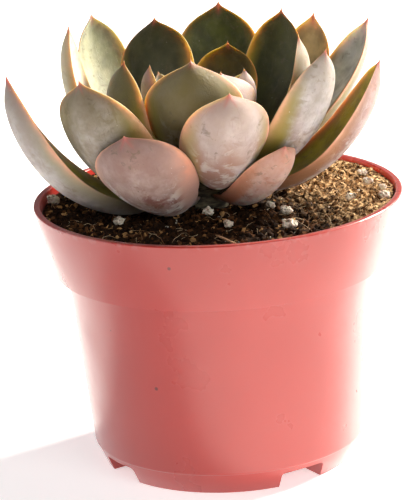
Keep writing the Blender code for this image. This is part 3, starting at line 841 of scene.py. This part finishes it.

# Each leaf's skin colours: under, bloom, share covered by bloom, upper, margin, low margin, dried skin,
# dryness. The margin and low margin colours are partly a painted glow of light shining through the thin
# margin.
PEACH = "F0A588"
SKINS = {
    "front_left_low": ("8E6A60", "C8B2A8", 0.8, "5E6026", PEACH, "BC9688", "86564A", 1.0),
    "front_right_low": ("C08A74", "EEDACE", 0.85, "5E6026", PEACH, "D08C68", "9A5F4C", 0.8),
    # painted light: left_outer's upper and low margin colours are raised where light shines through the
    # leaf
    "left_outer": ("938478", "C9C3C1", 0.85, "A8A236", "E0A485", "9C9478", "8E7A6C", 0.3),
    "right_outer": ("A07A70", "C6BAB6", 0.85, "A8A232", "E8AC8E", "A27048", "8A5648", 0.8),
    "left_front": ("7E7056", "BFB5AC", 0.85, "5A5E24", "E8A87E", "86761C", "8E7A66", 0.4),
    "front_middle": ("B0988C", "DDD1CB", 0.95, "5A5E24", PEACH, "B0985E", "B08A78", 1.0),
    "right_front": ("988C80", "DAD2D0", 0.9, "55591C", "EAB090", "96862E", "8E6E5E", 0.5),
    "right_back": ("8C807A", "B9B2B2", 0.7, "CACFCC", "E2A68A", "7E7A2C", "7A4A38", 0.5),
    "far_back_right": ("8A7A66", "B0A596", 0.5, "C8AC7C", "E6AA80", "A08A50", "7A5A40", 0.3),
    "back_middle": ("6E7040", "A0A080", 0.4, "505612", "E6A06E", "A89C30", "7A6A40", 0.2),
    "back_left": ("9AA080", "D8DABC", 0.6, "BCBC98", "E6B090", "C8C496", "8E8A66", 0.3),
    # painted backlight: left_back's upper side is painted near-white where light shines through it
    "left_back": ("B4A888", "DED6C2", 0.7, "FFF6E4", "D89E74", "9A8248", "8E7A5C", 0.3),
    "front_left_inner": ("70683E", "8F8668", 0.55, "5A5E24", "EAA67C", "94882E", "7A6A4A", 0.25),
    "front_inner": ("7C6E44", "988A6C", 0.55, "5A5E24", "F0A880", "94862E", "7A6A4A", 0.25),
    "right_inner": ("B5A68E", "DDD0C2", 0.8, "B9B089", "F0BC9C", "C8B070", "9A8460", 0.2),
    "back_right_inner": ("6A6A30", "8C8A6A", 0.4, "4C4E18", "E6A45E", "BCA82E", "7A6A40", 0.2),
    "back_left_inner": ("6A6A4A", "8F8C78", 0.4, "4E5032", "D69468", "8E8448", "7A6A4A", 0.2),
    "back_inner": ("5C5636", "86806A", 0.4, "5E5218", "F09A58", "B09636", "6A5A3A", 0.2),
}
LOW_BACK = ("8A8470", "B4ACA2", 0.7, "5E6026", "D9A084", "8F8632", "8E6E58", 0.5)
SEED_STEP = 0.37
HEART = ("A88E84", "D8C8C2", 0.75, "A59C86", "EBB3A4", "C2A284", "9A8070", 0.1)


def leaf_material(name, skin, seed):
    made, tree, shader, place = new_material(f"skin_{name}")
    # the margin and low margin colours are partly a painted glow of light shining through the leaf
    under, bloom, cover, upper, margin, low_margin_and_glow, dried_skin_and_sunlit_mix, dryness = skin
    inputs = {
        "Place": put(tree, "ShaderNodeAttribute", attribute_name="leaf_place").outputs["Vector"],
        "Object": place,
        "Seed": seed,
        "Under": colour(under),
        "Bloom": colour(bloom),
        "Cover": cover,
        "Upper": colour(upper),
        "Margin": colour(margin),
        "Low Margin": colour(low_margin_and_glow),
        "Tip": colour("C4625C"),
        "Dry": colour(dried_skin_and_sunlit_mix),
        "Dryness": dryness,
    }
    skinned = put(tree, "ShaderNodeGroup", inputs, node_tree=leaf_skin)
    tree.links.new(skinned.outputs["Colour"], shader.inputs["Base Color"])
    tree.links.new(skinned.outputs["Roughness"], shader.inputs["Roughness"])
    height = skinned.outputs["Height"]
    lift = put(tree, "ShaderNodeBump", {"Height": height, "Distance": 0.12 * MM, "Strength": 0.5})
    tree.links.new(lift.outputs[0], shader.inputs["Normal"])
    shader.inputs["Subsurface Weight"].default_value = 0.4
    shader.inputs["Subsurface Radius"].default_value = (1.0, 0.62, 0.2)
    shader.inputs["Subsurface Scale"].default_value = 2.6 * MM
    shader.inputs["Sheen Weight"].default_value = 0.12
    shader.inputs["Sheen Roughness"].default_value = 0.5
    return made


for i, node in enumerate(sorted(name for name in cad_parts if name.startswith("leaf_"))):
    kind = node.split("_", 2)[2]
    leaf = copy_of(node, "skinned_" + node)
    bpy.ops.object.mode_set(mode="EDIT")
    bpy.ops.mesh.select_all(action="SELECT")
    turns = {"face_threshold": math.radians(70), "shape_threshold": math.radians(120)}
    bpy.ops.mesh.tris_convert_to_quads(**turns)
    bpy.ops.object.mode_set(mode="OBJECT")
    mark_leaf(leaf)
    plump_up(leaf)
    skin = SKINS.get(kind, HEART if kind.startswith(("heart", "bud")) else LOW_BACK)
    leaf.data.materials.append(leaf_material(kind, skin, i * SEED_STEP))
    bpy.ops.object.shade_smooth()
    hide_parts(node)
    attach(leaf, "root")


# ---- Floor, light and camera -------------------------------------------------------------------------
# A white table and a bright white room. The sun-like key comes from behind on the right.

TABLE_SIZE = 8


def table_white():
    made, _, shader, _ = new_material("white_table")
    shader.inputs["Base Color"].default_value = (0.95, 0.95, 0.95, 1)
    shader.inputs["Roughness"].default_value = 0.6
    shader.inputs["Emission Color"].default_value = (1, 1, 1, 1)
    shader.inputs["Emission Strength"].default_value = 0.55
    return made


deselect()
bpy.ops.mesh.primitive_plane_add(size=TABLE_SIZE, location=(0, 0, 0))
table = bpy.context.object
table.name = "table"
table.data.materials.append(table_white())

world = bpy.data.worlds.new("white_room")
bpy.context.scene.world = world
world.use_nodes = True
room = world.node_tree
# the room is brighter behind and to the right, and shows as an even white behind the plant
toward = put(room, "ShaderNodeTexCoord").outputs["Generated"]
way = put(room, "ShaderNodeSeparateXYZ", {0: toward}).outputs
behind = sums(room, "ADD", way["Y"], times(room, way["X"], 0.6))
glow = between(room, behind, -1.1, 1.0, 0.62, 2.3)
seen = put(room, "ShaderNodeLightPath").outputs["Is Camera Ray"]
strength = put(room, "ShaderNodeMix", {0: seen, 2: glow, 3: 1.05}, data_type="FLOAT").outputs[0]
room.links.new(strength, room.nodes["Background"].inputs["Strength"])


def lamp(name, place, aim, size, power, tone):
    """A soft square light at a place, turned to face a point."""
    light = bpy.data.lights.new(name, "AREA")
    light.size = size
    light.energy = power
    light.color = tone
    made = bpy.data.objects.new(name, light)
    bpy.context.scene.collection.objects.link(made)
    made.location = place
    made.rotation_euler = (Vector(aim) - Vector(place)).to_track_quat("-Z", "Y").to_euler()


lamp("key_back_right", (0.92, 0.62, 0.72), (0, 0, 0.08), 0.3, 48, (1.0, 0.93, 0.84))
lamp("bounce_front_right", (0.6, -0.95, 0.5), (0, 0, 0.07), 0.8, 6.5, (1.0, 0.98, 0.96))
lamp("fill_left", (-0.9, 0.1, 0.5), (0, 0, 0.07), 0.8, 3, (0.95, 0.97, 1.0))

CAMERA_BACK, CAMERA_UP = 0.8, 0.2999
YAW, PITCH, ROLL = (math.radians(angle) for angle in (-0.39, 16.66, -3.19))
LENS, SENSOR = 210.1, 36.0
ahead = Vector((math.sin(YAW) * math.cos(PITCH), math.cos(YAW) * math.cos(PITCH), -math.sin(PITCH)))
level = Vector((math.cos(YAW), -math.sin(YAW), 0))
above = level.cross(ahead)
right = level * math.cos(ROLL) + above * math.sin(ROLL)
up = above * math.cos(ROLL) - level * math.sin(ROLL)
lens = bpy.data.cameras.new("camera")
lens.lens = LENS
lens.sensor_width = SENSOR
camera = bpy.data.objects.new("camera", lens)
bpy.context.scene.collection.objects.link(camera)
turn = Matrix((right, up, -ahead)).transposed().to_4x4()
camera.matrix_world = Matrix.Translation(POT_AXIS + Vector((0, -CAMERA_BACK, CAMERA_UP))) @ turn
bpy.context.scene.camera = camera

bpy.context.view_layer.update()
